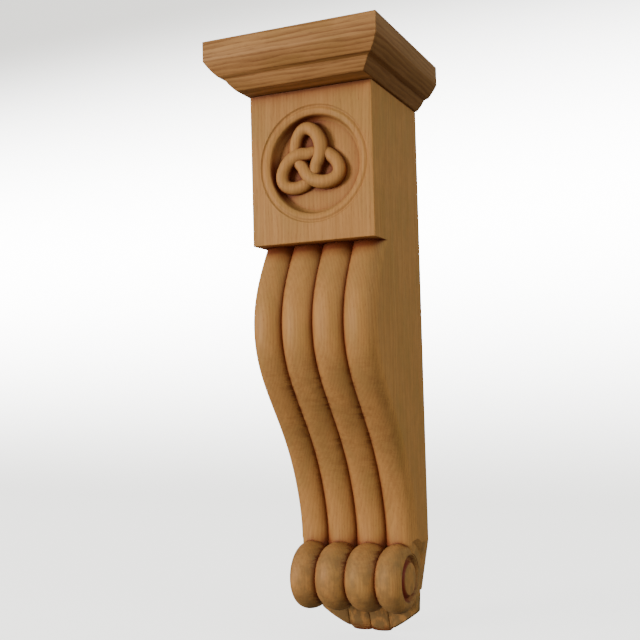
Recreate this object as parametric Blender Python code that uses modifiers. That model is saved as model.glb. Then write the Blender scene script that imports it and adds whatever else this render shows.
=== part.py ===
# Carved wooden corbel: a moulded cap on a block with a knot roundel, over a reeded console
# that sweeps back to the wall and ends in a scroll and a small tail.
# Metres, +Z up. The wall face lies on the plane Y = 0 and the front faces -Y.
# The origin is on the wall face, halfway up the whole piece.

import math

import bmesh
import bpy
import numpy as np

# Cap: a moulding mitred round the front and both sides, flush at the wall
CAP_HEIGHT = 0.0254
CAP_OVER_SIDE = 0.0141
CAP_OVER_FRONT = 0.0263
FASCIA_HEIGHT = 0.0110
UPPER_MEMBER_RUN = 0.0054
UPPER_MEMBER_DROP = 0.0073
QUIRK_RUN = 0.0027
QUIRK_DROP = 0.0009
LOWER_MEMBER_RUN = 0.0049
MEMBER_SWELL = 0.0003
JOINT_GAP = 0.0003

# Block under the cap
BLOCK_WIDTH = 0.0740
BLOCK_DEPTH = 0.0702
BLOCK_HEIGHT = 0.0846

# Roundel sunk into the block's front
ROUNDEL_ACROSS = 0.0016
ROUNDEL_DOWN = 0.0416
GROOVE_RADIUS = 0.0318
GROOVE_HALF_WIDTH = 0.0010
GROOVE_DEPTH = 0.0017
DISH_RADIUS = 0.0272
DISH_DEPTH = 0.0062
DISH_LIP = 0.0012
RING_SETBACK = 0.0002

# Three-lobed knot that stands in the dish
KNOT_ACROSS = -0.0043
KNOT_UP = 0.0018
KNOT_RADIUS = 0.0119
KNOT_PINCH = 0.61
KNOT_SWELL = 0.31
KNOT_TURN = math.radians(95.0)
STRAND_HALF_WIDTH = 0.0037
STRAND_ROUND = 0.0030
STRAND_SETBACK = 0.0010
STRAND_WEAVE = 0.0010
STRAND_SHORT = math.radians(2.0)
STRAND_SKEW_SPAN = math.radians(26.0)

# Reeded console under the block
REED_COUNT = 4
REED_RISE = 0.0046
OUTER_REED_DROP = 0.0092
CONSOLE_TOP_DEPTH = 0.0560
BULGE_DEPTH = 0.0736
BULGE_DROP = 0.0455
SWEEP_DROP = 0.1230
SWEEP_LEAN = 0.06
NECK_DEPTH = 0.0206

# Scroll at the foot of the console
SCROLL_RADIUS = 0.0150
SCROLL_END_INSET = 0.0026
SCROLL_END_DROP = 0.0060
SCROLL_WALL_GAP = 0.0063
SCROLL_BELOW_NECK = 0.0212
EYE_RADIUS = 0.0090
EYE_GROOVE_WIDTH = 0.0044
EYE_GROOVE_DEPTH = 0.0028
EYE_STANDS = 0.0006
CHEEK_GAP = 0.0010
CHEEK_INSET = 0.0030
CHEEK_HOLLOW_INSET = 0.0060
CHEEK_HOLLOW_RIM = 0.0010

# Back strip behind the scroll, and the leaf-shaped tail that it narrows into
STRIP_BELOW_NECK = 0.0030
CORE_BELOW_SCROLL = 0.0111
TAIL_HALF_WIDTH = 0.0304
TAIL_INNER_HALF_WIDTH = 0.0122
TAIL_REACH = 0.0174
TAIL_HEAD_BELOW_SCROLL = 0.0037
TAIL_HEAD_DEPTH = 0.0139
TAIL_FOOT_DEPTH = 0.0032
TAIL_GROOVE_DEPTH = 0.0014
TAIL_GROOVE_WIDTH = 0.0015
TAIL_NOTCH = 0.0009
TAIL_OUTER_STEP = 0.0014
TAIL_OUTER_RISE = 0.0110
TAIL_EDGE = 0.0010
TAIL_END_RISE = 0.0229
TAIL_END_WIDTH = 0.0005

# How finely the curves are faceted
REED_STEPS = 6
SWEEP_STEPS = 26
BULGE_STEPS = 9
ROUNDEL_STEPS = 56
SCROLL_STEPS = 40
STRAND_STEPS = 26
ARC_STEPS = 4
FLANK_STEPS = 5
LOBE_STEPS = 5
TAIL_STEPS = 4
CROSSING_ROUNDS = 12

# How far cutters and joined shapes run past each other, and how close points are welded
PAST = 0.0030
WELD = 0.000001
AXIS_WELD = 0.00005
NUDGE = 0.0001
SHARP_ANGLE = math.radians(30.0)

# Heights and places that follow from the sizes above
SCROLL_CREST = SCROLL_RADIUS + REED_RISE
SCROLL_Y = -(SCROLL_CREST + SCROLL_WALL_GAP)
TOTAL_HEIGHT = (
    CAP_HEIGHT + JOINT_GAP + BLOCK_HEIGHT + BULGE_DROP + SWEEP_DROP
    + SCROLL_BELOW_NECK + SCROLL_CREST + TAIL_REACH
)
TOP_Z = TOTAL_HEIGHT / 2
BLOCK_TOP_Z = TOP_Z - CAP_HEIGHT - JOINT_GAP
BLOCK_BASE_Z = BLOCK_TOP_Z - BLOCK_HEIGHT
BULGE_Z = BLOCK_BASE_Z - BULGE_DROP
NECK_Z = BULGE_Z - SWEEP_DROP
SCROLL_Z = NECK_Z - SCROLL_BELOW_NECK
HALF_WIDTH = BLOCK_WIDTH / 2
REED_PITCH = BLOCK_WIDTH / REED_COUNT
OUTER_CREST = HALF_WIDTH - REED_PITCH / 2
SCROLL_HALF = HALF_WIDTH - SCROLL_END_INSET
TAIL_Z = SCROLL_Z - SCROLL_CREST - TAIL_REACH
TAIL_HEAD_Z = SCROLL_Z - TAIL_HEAD_BELOW_SCROLL

# The knot's line goes twice round its centre while it swings in and out three times
KNOT_LOBES = 3
KNOT_WAVE = KNOT_LOBES / 2
KNOT_WAVELENGTH = 2.0 * math.pi / KNOT_WAVE


def clear_scene():
    for old in list(bpy.data.objects):
        bpy.data.objects.remove(old, do_unlink=True)


def new_collection(name):
    made = bpy.data.collections.new(name)
    bpy.context.scene.collection.children.link(made)
    return made


def wood(name, colour, roughness):
    made = bpy.data.materials.new(name)
    made.use_nodes = True
    shader = made.node_tree.nodes["Principled BSDF"]
    shader.inputs["Base Color"].default_value = (*colour, 1.0)
    shader.inputs["Roughness"].default_value = roughness
    shader.inputs["Metallic"].default_value = 0.0
    made.diffuse_color = (*colour, 1.0)
    return made


def link_mesh(name, bm, collection):
    bmesh.ops.recalc_face_normals(bm, faces=bm.faces)
    mesh = bpy.data.meshes.new(name)
    bm.to_mesh(mesh)
    bm.free()
    made = bpy.data.objects.new(name, mesh)
    collection.objects.link(made)
    return made


def as_helper(obj):
    obj.hide_render = True
    obj.display_type = "WIRE"
    return obj


def loft(name, rings, collection):
    """A closed solid through rings of equally many points, capped at both ends."""
    bm = bmesh.new()
    rows = [[bm.verts.new(point) for point in ring] for ring in rings]
    count = len(rows[0])
    for above, below in zip(rows, rows[1:]):
        for i in range(count):
            j = (i + 1) % count
            bm.faces.new((above[i], above[j], below[j], below[i]))
    bm.faces.new(rows[0])
    bm.faces.new(rows[-1])
    bmesh.ops.remove_doubles(bm, verts=bm.verts, dist=WELD)
    return link_mesh(name, bm, collection)


def turned(name, profile, steps, collection):
    """A profile of (radius, height) points, run down its outer side and turned about Z."""
    bm = bmesh.new()
    points = [bm.verts.new((radius, 0.0, height)) for radius, height in profile]
    for a, b in zip(points, points[1:]):
        bm.edges.new((a, b))
    mesh = bpy.data.meshes.new(name)
    bm.to_mesh(mesh)
    bm.free()
    made = bpy.data.objects.new(name, mesh)
    collection.objects.link(made)
    screw = made.modifiers.new("turn", "SCREW")
    screw.axis = "Z"
    screw.steps = steps
    screw.render_steps = steps
    screw.use_merge_vertices = True
    screw.merge_threshold = AXIS_WELD
    return made


def join(target, other, operation):
    cut = target.modifiers.new(f"{operation.lower()} {other.name}", "BOOLEAN")
    cut.operation = operation
    cut.solver = "EXACT"
    cut.object = other


def swollen_line(start, end, swell, steps):
    """Points from start to end on a shallow arc that swells to the outer side by its middle height."""
    start, end = np.array(start), np.array(end)
    run, drop = end - start
    outward = np.array([-drop, run]) / math.hypot(run, drop)
    points = []
    for k in range(steps + 1):
        t = k / steps
        bow = 4.0 * t * (1.0 - t) * swell
        points.append(tuple(start + t * (end - start) + bow * outward))
    return points


def cap_profile():
    """The moulding as (inset from the fascia, drop from the top)."""
    upper_foot = (UPPER_MEMBER_RUN, FASCIA_HEIGHT + UPPER_MEMBER_DROP)
    lower_head = (upper_foot[0] + QUIRK_RUN, upper_foot[1] + QUIRK_DROP)
    lower_foot = (lower_head[0] + LOWER_MEMBER_RUN, CAP_HEIGHT)
    profile = [(0.0, 0.0)]
    profile += swollen_line((0.0, FASCIA_HEIGHT), upper_foot, MEMBER_SWELL, ARC_STEPS)
    profile += swollen_line(lower_head, lower_foot, MEMBER_SWELL, ARC_STEPS)
    return profile


def cap_moulding(collection):
    rings = []
    for inset, drop in cap_profile():
        half = HALF_WIDTH + CAP_OVER_SIDE - inset
        front = -(BLOCK_DEPTH + CAP_OVER_FRONT - inset)
        z = TOP_Z - drop
        rings.append([(-half, 0.0, z), (-half, front, z), (half, front, z), (half, 0.0, z)])
    return loft("cap_moulding", rings, collection)


def reed_height(across):
    """How far a reed stands over the valley line; the outermost flanks round over to the sides."""
    past_crest = (abs(across) - OUTER_CREST) / (REED_PITCH / 2)
    if past_crest > 0.0:
        return REED_RISE - OUTER_REED_DROP * (1.0 - math.sqrt(max(0.0, 1.0 - past_crest**2)))
    half = REED_PITCH / 2
    offset = (across + HALF_WIDTH) % REED_PITCH - half
    radius = (half**2 + REED_RISE**2) / (2 * REED_RISE)
    return max(0.0, math.sqrt(radius**2 - offset**2) - (radius - REED_RISE))


def valley_depth(z):
    """How far the console's reed valleys stand off the wall at a height under the block."""
    if z >= BULGE_Z:
        rise = (z - BULGE_Z) / BULGE_DROP
        return BULGE_DEPTH - (BULGE_DEPTH - CONSOLE_TOP_DEPTH) * (1.0 - math.cos(math.pi / 2 * rise))
    t = min(1.0, (BULGE_Z - z) / SWEEP_DROP)
    lean = t + SWEEP_LEAN * math.sin(math.pi * t) ** 2
    return NECK_DEPTH + (BULGE_DEPTH - NECK_DEPTH) * 0.5 * (1.0 + math.cos(math.pi * lean))


def inner_points():
    """Places across the reeds from the first outer crest to the last."""
    count = (REED_COUNT - 1) * REED_STEPS
    return [OUTER_CREST * (2 * k / count - 1.0) for k in range(count + 1)]


def across_points():
    """Places across the whole console; the outer flanks are stepped by angle."""
    flank = []
    for k in range(1, FLANK_STEPS + 1):
        flank.append(OUTER_CREST + REED_PITCH / 2 * math.sin(math.pi / 2 * k / FLANK_STEPS))
    return [-x for x in reversed(flank)] + inner_points() + flank


def body_ring(z, half, side_depth, depth_at):
    """One level of the body: both sides, the front line, and the corners behind the wall plane."""
    front = [(x * half / HALF_WIDTH, -depth_at(x), z) for x in across_points()]
    return [(-half, PAST, z), (-half, -side_depth, z), *front, (half, -side_depth, z), (half, PAST, z)]


def console_ring(z, half):
    valley = valley_depth(z)
    side_depth = valley + reed_height(HALF_WIDTH)
    return body_ring(z, half, side_depth, lambda x: valley + reed_height(x))


def strip_half_width(z):
    """Half the width of the back strip, which narrows evenly from the neck to the tail."""
    top = NECK_Z - STRIP_BELOW_NECK
    foot = SCROLL_Z - SCROLL_CREST
    return HALF_WIDTH + (TAIL_HALF_WIDTH - HALF_WIDTH) * (top - z) / (top - foot)


def body_core(collection):
    """The block, the reeded console and the back strip as one loft, run a little past the wall plane."""
    top_side_depth = CONSOLE_TOP_DEPTH + reed_height(HALF_WIDTH)
    rings = []
    for z in (BLOCK_TOP_Z, BLOCK_BASE_Z):
        rings.append(body_ring(z, HALF_WIDTH, top_side_depth, lambda x: BLOCK_DEPTH))
    levels = [BLOCK_BASE_Z - BULGE_DROP * k / BULGE_STEPS for k in range(BULGE_STEPS)]
    levels += [BULGE_Z - SWEEP_DROP * k / SWEEP_STEPS for k in range(SWEEP_STEPS + 1)]
    rings += [console_ring(z, HALF_WIDTH) for z in levels]
    for z in (NECK_Z - STRIP_BELOW_NECK, SCROLL_Z, SCROLL_Z - CORE_BELOW_SCROLL):
        rings.append(console_ring(z, strip_half_width(z)))
    return loft("carved_body", rings, collection)


def roundel_cutter(collection):
    """Turned cutter for the dish, the ring and the fine groove round it; +Z points out of the face."""
    lip = DISH_RADIUS + DISH_LIP
    profile = [
        (0.0, PAST),
        (GROOVE_RADIUS + GROOVE_HALF_WIDTH + RING_SETBACK, PAST),
        (GROOVE_RADIUS + GROOVE_HALF_WIDTH, 0.0),
        (GROOVE_RADIUS, -GROOVE_DEPTH),
        (GROOVE_RADIUS - GROOVE_HALF_WIDTH, -GROOVE_DEPTH / 2),
        ((GROOVE_RADIUS + lip) / 2, -RING_SETBACK),
        (lip, -DISH_LIP / 2),
        (DISH_RADIUS, -DISH_LIP),
        (DISH_RADIUS - DISH_LIP / 2, -DISH_DEPTH + DISH_LIP),
        (DISH_RADIUS - DISH_LIP * 2, -DISH_DEPTH),
        (0.0, -DISH_DEPTH),
    ]
    cutter = turned("roundel_cutter", profile, ROUNDEL_STEPS, collection)
    cutter.rotation_euler = (math.pi / 2, 0.0, 0.0)
    cutter.location = (ROUNDEL_ACROSS, -BLOCK_DEPTH, BLOCK_TOP_Z - ROUNDEL_DOWN)
    return as_helper(cutter)


def knot_point(s):
    radius = KNOT_RADIUS * (1.0 + KNOT_PINCH * math.cos(KNOT_WAVE * s))
    angle = s + KNOT_TURN - KNOT_SWELL * math.sin(KNOT_WAVE * s)
    return np.array([radius * math.cos(angle), radius * math.sin(angle)])


def knot_direction(s):
    along = knot_point(s + NUDGE) - knot_point(s - NUDGE)
    return along / np.linalg.norm(along)


def crossing_shift():
    """How far along the knot's line its swell moves each crossing, settled by a few rounds."""
    shift = KNOT_SWELL
    for _ in range(CROSSING_ROUNDS):
        shift = KNOT_SWELL * math.cos(KNOT_WAVE * shift)
    return shift


def strand_section(top):
    """Half of a strand's section as (across, height over the face), from crest to foot."""
    foot = -DISH_DEPTH - DISH_LIP
    points = []
    for k in range(ARC_STEPS):
        angle = math.pi / 2 * k / (ARC_STEPS - 1)
        height = top - STRAND_ROUND * (1.0 - math.cos(angle))
        points.append((STRAND_HALF_WIDTH * math.sin(angle), height))
    points.append((STRAND_HALF_WIDTH, foot))
    return points


def strand_ring(s, over_s, skew):
    """A section of a strand, turned by skew towards the line of the strand that covers its end."""
    along = knot_direction(s)
    side = np.array([-along[1], along[0]])
    cover = knot_direction(over_s)
    if cover @ side < 0.0:
        cover = -cover
    lean = side + skew * (cover - side)
    lean = lean / (lean @ side)
    half = strand_section(-STRAND_SETBACK - STRAND_WEAVE * math.sin(KNOT_WAVE * s))
    section = [(-across, height) for across, height in reversed(half)] + half[1:]
    centre = np.array([ROUNDEL_ACROSS + KNOT_ACROSS, BLOCK_TOP_Z - ROUNDEL_DOWN + KNOT_UP])
    here = centre + knot_point(s)
    ring = []
    for across, height in section:
        x, z = here + lean * across
        ring.append((x, -BLOCK_DEPTH - height, z))
    return ring


def knot_strands(collection):
    """Strands that each run from one underpass to the next and end inside the strand over them."""
    shift = crossing_shift()
    span = KNOT_WAVELENGTH - 2 * STRAND_SHORT
    strands = []
    for number in range(KNOT_LOBES):
        crossing = KNOT_WAVELENGTH * (number + 0.25)
        under = crossing + shift
        over = crossing + 2.0 * math.pi - shift
        rings = []
        for k in range(STRAND_STEPS + 1):
            past_start = STRAND_SHORT + span * k / STRAND_STEPS
            to_end = KNOT_WAVELENGTH - past_start
            cover = over if past_start < to_end else over + KNOT_WAVELENGTH
            skew = max(0.0, 1.0 - (min(past_start, to_end) - STRAND_SHORT) / STRAND_SKEW_SPAN)
            rings.append(strand_ring(under + past_start, cover, skew))
        strands.append(as_helper(loft(f"strand_{number + 1}", rings, collection)))
    return strands


def scroll(collection):
    """The reeded roll, turned about X, with a domed eye in a groove at each end."""
    end_radius = EYE_RADIUS + EYE_GROOVE_WIDTH
    half_profile = []
    for k in range(ARC_STEPS + 1):
        angle = math.pi / 2 * k / ARC_STEPS
        half_profile.append((EYE_RADIUS * math.sin(angle), SCROLL_HALF + EYE_STANDS * math.cos(angle)))
    half_profile.append(((EYE_RADIUS + end_radius) / 2, SCROLL_HALF - EYE_GROOVE_DEPTH))
    for k in range(FLANK_STEPS):
        angle = math.pi / 2 * (1.0 - k / FLANK_STEPS)
        radius = SCROLL_CREST - SCROLL_END_DROP * (1.0 - math.cos(angle))
        half_profile.append((radius, OUTER_CREST + (SCROLL_HALF - OUTER_CREST) * math.sin(angle)))
    reeds = [(SCROLL_RADIUS + reed_height(x), x) for x in reversed(inner_points())]
    other_half = [(radius, -x) for radius, x in reversed(half_profile)]
    made = turned("scroll", half_profile + reeds + other_half, SCROLL_STEPS, collection)
    made.rotation_euler = (0.0, math.pi / 2, 0.0)
    made.location = (0.0, SCROLL_Y, SCROLL_Z)
    return as_helper(made)


def cheek_cutter(side, collection):
    """Cuts the round line between the scroll and the back strip, and room for the eye's groove."""
    radius = SCROLL_CREST + CHEEK_GAP
    hollow = EYE_RADIUS + EYE_GROOVE_WIDTH + CHEEK_HOLLOW_RIM
    profile = [
        (0.0, PAST),
        (radius, PAST),
        (radius, -CHEEK_INSET),
        (hollow, -CHEEK_INSET),
        (hollow, -CHEEK_HOLLOW_INSET),
        (0.0, -CHEEK_HOLLOW_INSET),
    ]
    name = f"cheek_cutter_{'right' if side > 0 else 'left'}"
    cutter = turned(name, profile, SCROLL_STEPS, collection)
    cutter.rotation_euler = (0.0, side * math.pi / 2, 0.0)
    cutter.location = (side * HALF_WIDTH, SCROLL_Y, SCROLL_Z)
    return as_helper(cutter)


def tail_columns():
    """The right half of the tail as (across, height of its foot, fullness of the lobe there)."""
    columns = []
    outer_start = TAIL_INNER_HALF_WIDTH + TAIL_GROOVE_WIDTH
    outer_width = TAIL_HALF_WIDTH - outer_start
    for k in range(LOBE_STEPS + 1):
        share = k / LOBE_STEPS
        crown = math.sqrt(max(0.0, 1.0 - (2.0 * share - 1.0) ** 2))
        inner_foot = TAIL_Z + TAIL_NOTCH * (1.0 - crown)
        columns.append((TAIL_INNER_HALF_WIDTH * share, inner_foot, crown))
    for k in range(LOBE_STEPS + 1):
        share = k / LOBE_STEPS
        crown = math.sqrt(max(0.0, 1.0 - (2.0 * share - 1.0) ** 2))
        outer_foot = TAIL_Z + TAIL_OUTER_STEP + TAIL_OUTER_RISE * share + TAIL_NOTCH * (1.0 - crown)
        columns.append((outer_start + outer_width * share, outer_foot, crown))
    columns.append((TAIL_HALF_WIDTH + TAIL_END_WIDTH, TAIL_Z + TAIL_END_RISE, 0.0))
    return columns


def tail_ring(across, foot, crown):
    """A cut through the tail from front to back, sloping out from its foot to behind the scroll."""
    def depth_at(z):
        share = (TAIL_HEAD_Z - z) / (TAIL_HEAD_Z - TAIL_Z)
        depth = TAIL_HEAD_DEPTH + (TAIL_FOOT_DEPTH - TAIL_HEAD_DEPTH) * share
        return depth - TAIL_GROOVE_DEPTH * (1.0 - crown)

    ring = [(across, PAST, TAIL_HEAD_Z)]
    for k in range(TAIL_STEPS + 1):
        z = TAIL_HEAD_Z + (foot + TAIL_EDGE - TAIL_HEAD_Z) * k / TAIL_STEPS
        ring.append((across, -depth_at(z), z))
    ring.append((across, -depth_at(foot) / 2, foot))
    ring.append((across, PAST, foot))
    return ring


def tail(collection):
    """Four leaf lobes that lie against the wall under the scroll."""
    right = tail_columns()
    left = [(-across, foot, crown) for across, foot, crown in reversed(right[1:])]
    rings = [tail_ring(*column) for column in left + right]
    return as_helper(loft("tail", rings, collection))


def wall_cutter(collection):
    """Planes the back off flat on the wall plane."""
    bm = bmesh.new()
    bmesh.ops.create_cube(bm, size=1.0)
    bmesh.ops.scale(bm, vec=(BLOCK_WIDTH * 2, BLOCK_DEPTH, TOTAL_HEIGHT * 2), verts=bm.verts)
    bmesh.ops.translate(bm, vec=(0.0, BLOCK_DEPTH / 2, 0.0), verts=bm.verts)
    return as_helper(link_mesh("wall_cutter", bm, collection))


def carved_body(parts, helpers):
    body = body_core(parts)
    join(body, roundel_cutter(helpers), "DIFFERENCE")
    for strand in knot_strands(helpers):
        join(body, strand, "UNION")
    for side in (-1, 1):
        join(body, cheek_cutter(side, helpers), "DIFFERENCE")
    join(body, tail(helpers), "UNION")
    join(body, wall_cutter(helpers), "DIFFERENCE")
    join(body, scroll(helpers), "UNION")
    return body


def main():
    clear_scene()
    parts = new_collection("corbel_bracket")
    helpers = new_collection("cutters")
    helpers.hide_render = True

    cap = cap_moulding(parts)
    cap.data.materials.append(wood("cap_wood", (0.42, 0.21, 0.09), 0.55))

    body = carved_body(parts, helpers)
    body.data.materials.append(wood("body_wood", (0.44, 0.23, 0.10), 0.55))
    for piece in (cap, body):
        piece.data.set_sharp_from_angle(angle=SHARP_ANGLE)


main()
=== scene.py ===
# A carved wooden corbel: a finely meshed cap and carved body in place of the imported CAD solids,
# with a shared procedural wood, on a pale floor in soft light. Metres, +Z up, wall at Y = 0.

import math

import bmesh
import bpy
import numpy as np
from mathutils import Matrix, Vector


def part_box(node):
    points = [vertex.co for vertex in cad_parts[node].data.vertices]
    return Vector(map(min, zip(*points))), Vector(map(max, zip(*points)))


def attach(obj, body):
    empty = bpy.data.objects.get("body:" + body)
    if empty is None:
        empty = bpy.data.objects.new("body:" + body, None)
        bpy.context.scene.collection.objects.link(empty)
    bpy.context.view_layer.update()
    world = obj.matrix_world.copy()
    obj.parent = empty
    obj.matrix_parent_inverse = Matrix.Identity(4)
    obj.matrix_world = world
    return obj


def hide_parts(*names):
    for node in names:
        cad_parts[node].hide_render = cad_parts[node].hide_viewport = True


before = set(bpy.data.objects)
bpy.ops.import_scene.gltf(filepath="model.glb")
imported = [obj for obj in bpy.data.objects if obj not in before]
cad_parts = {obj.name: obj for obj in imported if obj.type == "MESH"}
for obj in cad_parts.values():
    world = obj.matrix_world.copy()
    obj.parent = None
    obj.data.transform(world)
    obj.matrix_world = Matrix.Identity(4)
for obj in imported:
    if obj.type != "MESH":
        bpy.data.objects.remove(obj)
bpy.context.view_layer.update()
capLow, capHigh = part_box("cap_moulding")
bodyLow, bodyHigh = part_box("carved_body")
scene = bpy.context.scene

halfWidth = bodyHigh.x          # of the block and console
blockTop = bodyHigh.z           # just under the cap's glue line
topZ = capHigh.z
footZ = bodyLow.z
weldGap = 0.000001              # points closer than this are one point
axisWeld = 0.00002              # the same, on the axis of a turned shape
pastWall = 0.0030               # how far shapes run behind the wall plane before it is planed flat
profileRounds = 2               # rounds of corner cutting that smooth a turned profile
cornerCut = 0.25                # the share of each side that one round cuts off


# Small mesh makers

def linkMesh(name, bm):
    bmesh.ops.recalc_face_normals(bm, faces=bm.faces)
    mesh = bpy.data.meshes.new(name)
    bm.to_mesh(mesh)
    bm.free()
    made = bpy.data.objects.new(name, mesh)
    scene.collection.objects.link(made)
    return made


def loftRings(name, rings):
    # a closed solid through rings of equally many points, capped at both ends
    bm = bmesh.new()
    rows = [[bm.verts.new(point) for point in ring] for ring in rings]
    count = len(rows[0])
    for above, below in zip(rows, rows[1:]):
        for i in range(count):
            j = (i + 1) % count
            bm.faces.new((above[i], above[j], below[j], below[i]))
    bm.faces.new(rows[0])
    bm.faces.new(rows[-1])
    bmesh.ops.remove_doubles(bm, verts=bm.verts, dist=weldGap)
    return linkMesh(name, bm)


def turnProfile(name, profile, steps):
    # a (radius, height) profile turned about Z
    bm = bmesh.new()
    points = [bm.verts.new((radius, 0.0, height)) for radius, height in profile]
    edges = [bm.edges.new(pair) for pair in zip(points, points[1:])]
    bmesh.ops.spin(
        bm, geom=points + edges, cent=(0.0, 0.0, 0.0), axis=(0.0, 0.0, 1.0),
        angle=2.0 * math.pi, steps=steps, use_merge=True,
    )
    bmesh.ops.remove_doubles(bm, verts=bm.verts, dist=axisWeld)
    return linkMesh(name, bm)


def applyAll(obj):
    # the object's modifiers and its place, both written into its mesh
    bpy.context.view_layer.update()
    done = obj.evaluated_get(bpy.context.evaluated_depsgraph_get())
    mesh = bpy.data.meshes.new_from_object(done)
    mesh.transform(obj.matrix_world)
    obj.modifiers.clear()
    obj.matrix_world.identity()
    obj.data = mesh
    return obj


def carve(target, tool, operation):
    cut = target.modifiers.new(operation.lower(), "BOOLEAN")
    cut.operation = operation
    cut.solver = "EXACT"
    cut.object = tool
    applyAll(target)
    bpy.data.objects.remove(tool)


def roundedCorner(corner, before, after, radius, steps):
    # the points of a rounded corner between its two neighbours, all in a plane
    corner, before, after = Vector(corner), Vector(before), Vector(after)
    toBefore = (before - corner).normalized()
    toAfter = (after - corner).normalized()
    halfAngle = toBefore.angle(toAfter) / 2.0
    reach = radius / math.tan(halfAngle)
    middle = corner + (toBefore + toAfter).normalized() * radius / math.sin(halfAngle)
    start = (corner + toBefore * reach - middle).normalized()
    end = (corner + toAfter * reach - middle).normalized()
    return [tuple(middle + radius * start.slerp(end, k / steps)) for k in range(steps + 1)]


def smoothBy(obj, angle):
    obj.data.shade_smooth()
    obj.data.set_sharp_from_angle(angle=math.radians(angle))


# The cap: three lengths of moulding, mitred at the corners, over a flat core

cap = {
    "fasciaHeight": 0.0110,
    "upperRun": 0.0054,
    "upperDrop": 0.0073,
    "quirkRun": 0.0027,
    "quirkDrop": 0.0009,
    "lowerRun": 0.0049,
    "swell": 0.0003,        # how far the sloping members bow outwards
    "edgeRound": 0.00035,   # sanded edges
    "mitreGroove": 0.00012,  # the fine line where two lengths meet
    "swellSteps": 8,
    "roundSteps": 2,
    "sharpFrom": 28.0,      # degrees between faces that stay a crisp edge
    "sideToneAndShade": 0.55,       # the side lengths are cut from darker wood
    "sideShift": 0.05,      # keeps the figure of the side lengths unlike the front's
    "sideApart": 0.02,
}


def capSide():
    # (inset from the fascia, drop from the top), sanded round at each edge
    height = capHigh.z - capLow.z
    upperFoot = (cap["upperRun"], cap["fasciaHeight"] + cap["upperDrop"])
    lowerHead = (upperFoot[0] + cap["quirkRun"], upperFoot[1] + cap["quirkDrop"])
    lowerFoot = (lowerHead[0] + cap["lowerRun"], height)
    corners = [(0.0, 0.0), (0.0, cap["fasciaHeight"]), upperFoot, lowerHead, lowerFoot]
    line = []
    ends = [(cap["upperRun"], 0.0)] + corners + [(lowerFoot[0] + cap["upperRun"], height)]
    for before, corner, after in zip(ends, corners, ends[2:]):
        line.append(roundedCorner(corner, before, after, cap["edgeRound"], cap["roundSteps"]))
    side = list(line[0])
    for number in range(1, len(line)):
        if number in (2, 4):    # the two sloping members bow outwards
            start, end = np.array(side[-1]), np.array(line[number][0])
            run, drop = end - start
            outward = np.array([-drop, run]) / math.hypot(run, drop)
            for k in range(1, cap["swellSteps"]):
                t = k / cap["swellSteps"]
                bow = 4.0 * t * (1.0 - t) * cap["swell"]
                side.append(tuple(start + t * (end - start) + bow * outward))
        side += line[number]
    return side


def makeCap():
    rings = []
    for inset, drop in capSide():
        half = capHigh.x - inset
        front = capLow.y + inset
        z = topZ - drop
        groove = cap["mitreGroove"]
        nick = groove * 2.0
        rings.append([
            (-half, 0.0, z), (-half, front + nick, z), (-half + groove, front + groove, z),
            (-half + nick, front, z), (half - nick, front, z), (half - groove, front + groove, z),
            (half, front + nick, z), (half, 0.0, z),
        ])
    made = loftRings("cap_wood_moulding", rings)
    smoothBy(made, cap["sharpFrom"])
    return made


def markGrain(obj, pickRun):
    # stores coordinates whose X runs along the grain, and how dark each face is marked: darker cap side
    # lengths, a darker scroll and tail, and painted shade on the body's flat sides
    mesh = obj.data
    mesh.attributes.new("grain", "FLOAT_VECTOR", "CORNER")
    mesh.attributes.new("toneAndShade", "FLOAT", "CORNER")
    places, toneAndShadeValues = [], []
    for face in mesh.polygons:
        run, dark = pickRun(face)
        for index in face.vertices:
            places.extend(run(mesh.vertices[index].co))
            toneAndShadeValues.append(dark)
    mesh.attributes["grain"].data.foreach_set("vector", places)
    mesh.attributes["toneAndShade"].data.foreach_set("value", toneAndShadeValues)


def capRun(face):
    # the side lengths run front to back, the front length and the core run across
    side = 1.0 if face.center.x > 0.0 else -1.0
    sideInset = capHigh.x - abs(face.center.x)
    frontInset = face.center.y - capLow.y
    if abs(face.normal.x) > abs(face.normal.y) and sideInset < frontInset:
        shift, apart = cap["sideShift"], side * cap["sideApart"]
        return (lambda co: (co.y, side * co.x + shift + apart, co.z)), cap["sideToneAndShade"]
    return (lambda co: (co.x, -co.y, co.z)), 0.0


capPiece = makeCap()
markGrain(capPiece, capRun)
print("cap made:", len(capPiece.data.polygons), "faces")


# The body: block, reeded console and back strip

body = {
    "blockDepth": 0.0702,
    "blockHeight": 0.0846,
    "edgeRound": 0.0005,
    "reedCount": 4,
    "reedRise": 0.0046,
    "outerDrop": 0.0092,      # how far the outer flanks fall to the sides
    "topDepth": 0.0560,
    "bulgeDepth": 0.0736,
    "bulgeDrop": 0.0455,
    "sweepDrop": 0.1230,
    "sweepLean": 0.06,
    "neckDepth": 0.0206,
    "roundSteps": 3,
    "reedSteps": 18,
    "flankSteps": 14,
    "bulgeSteps": 30,
    "sweepSteps": 84,
    "sharpFrom": 32.0,        # degrees between faces that stay a crisp edge
    "sideFacing": 0.95,       # how squarely a face looks sideways to be part of a flat side
    "sideToneAndShade": 0.09,         # painted shade: how dark the flat sides are painted
    "footTone": 0.36,         # how dark the wood is from the scroll's top down
    "tailTone": 0.46,         # added to it below the scroll
    "footFade": 0.0060,       # the height over which each of the two comes in
}
blockBase = blockTop - body["blockHeight"]
bulgeZ = blockBase - body["bulgeDrop"]
neckZ = bulgeZ - body["sweepDrop"]
reedPitch = 2.0 * halfWidth / body["reedCount"]
outerCrest = halfWidth - reedPitch / 2.0

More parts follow.
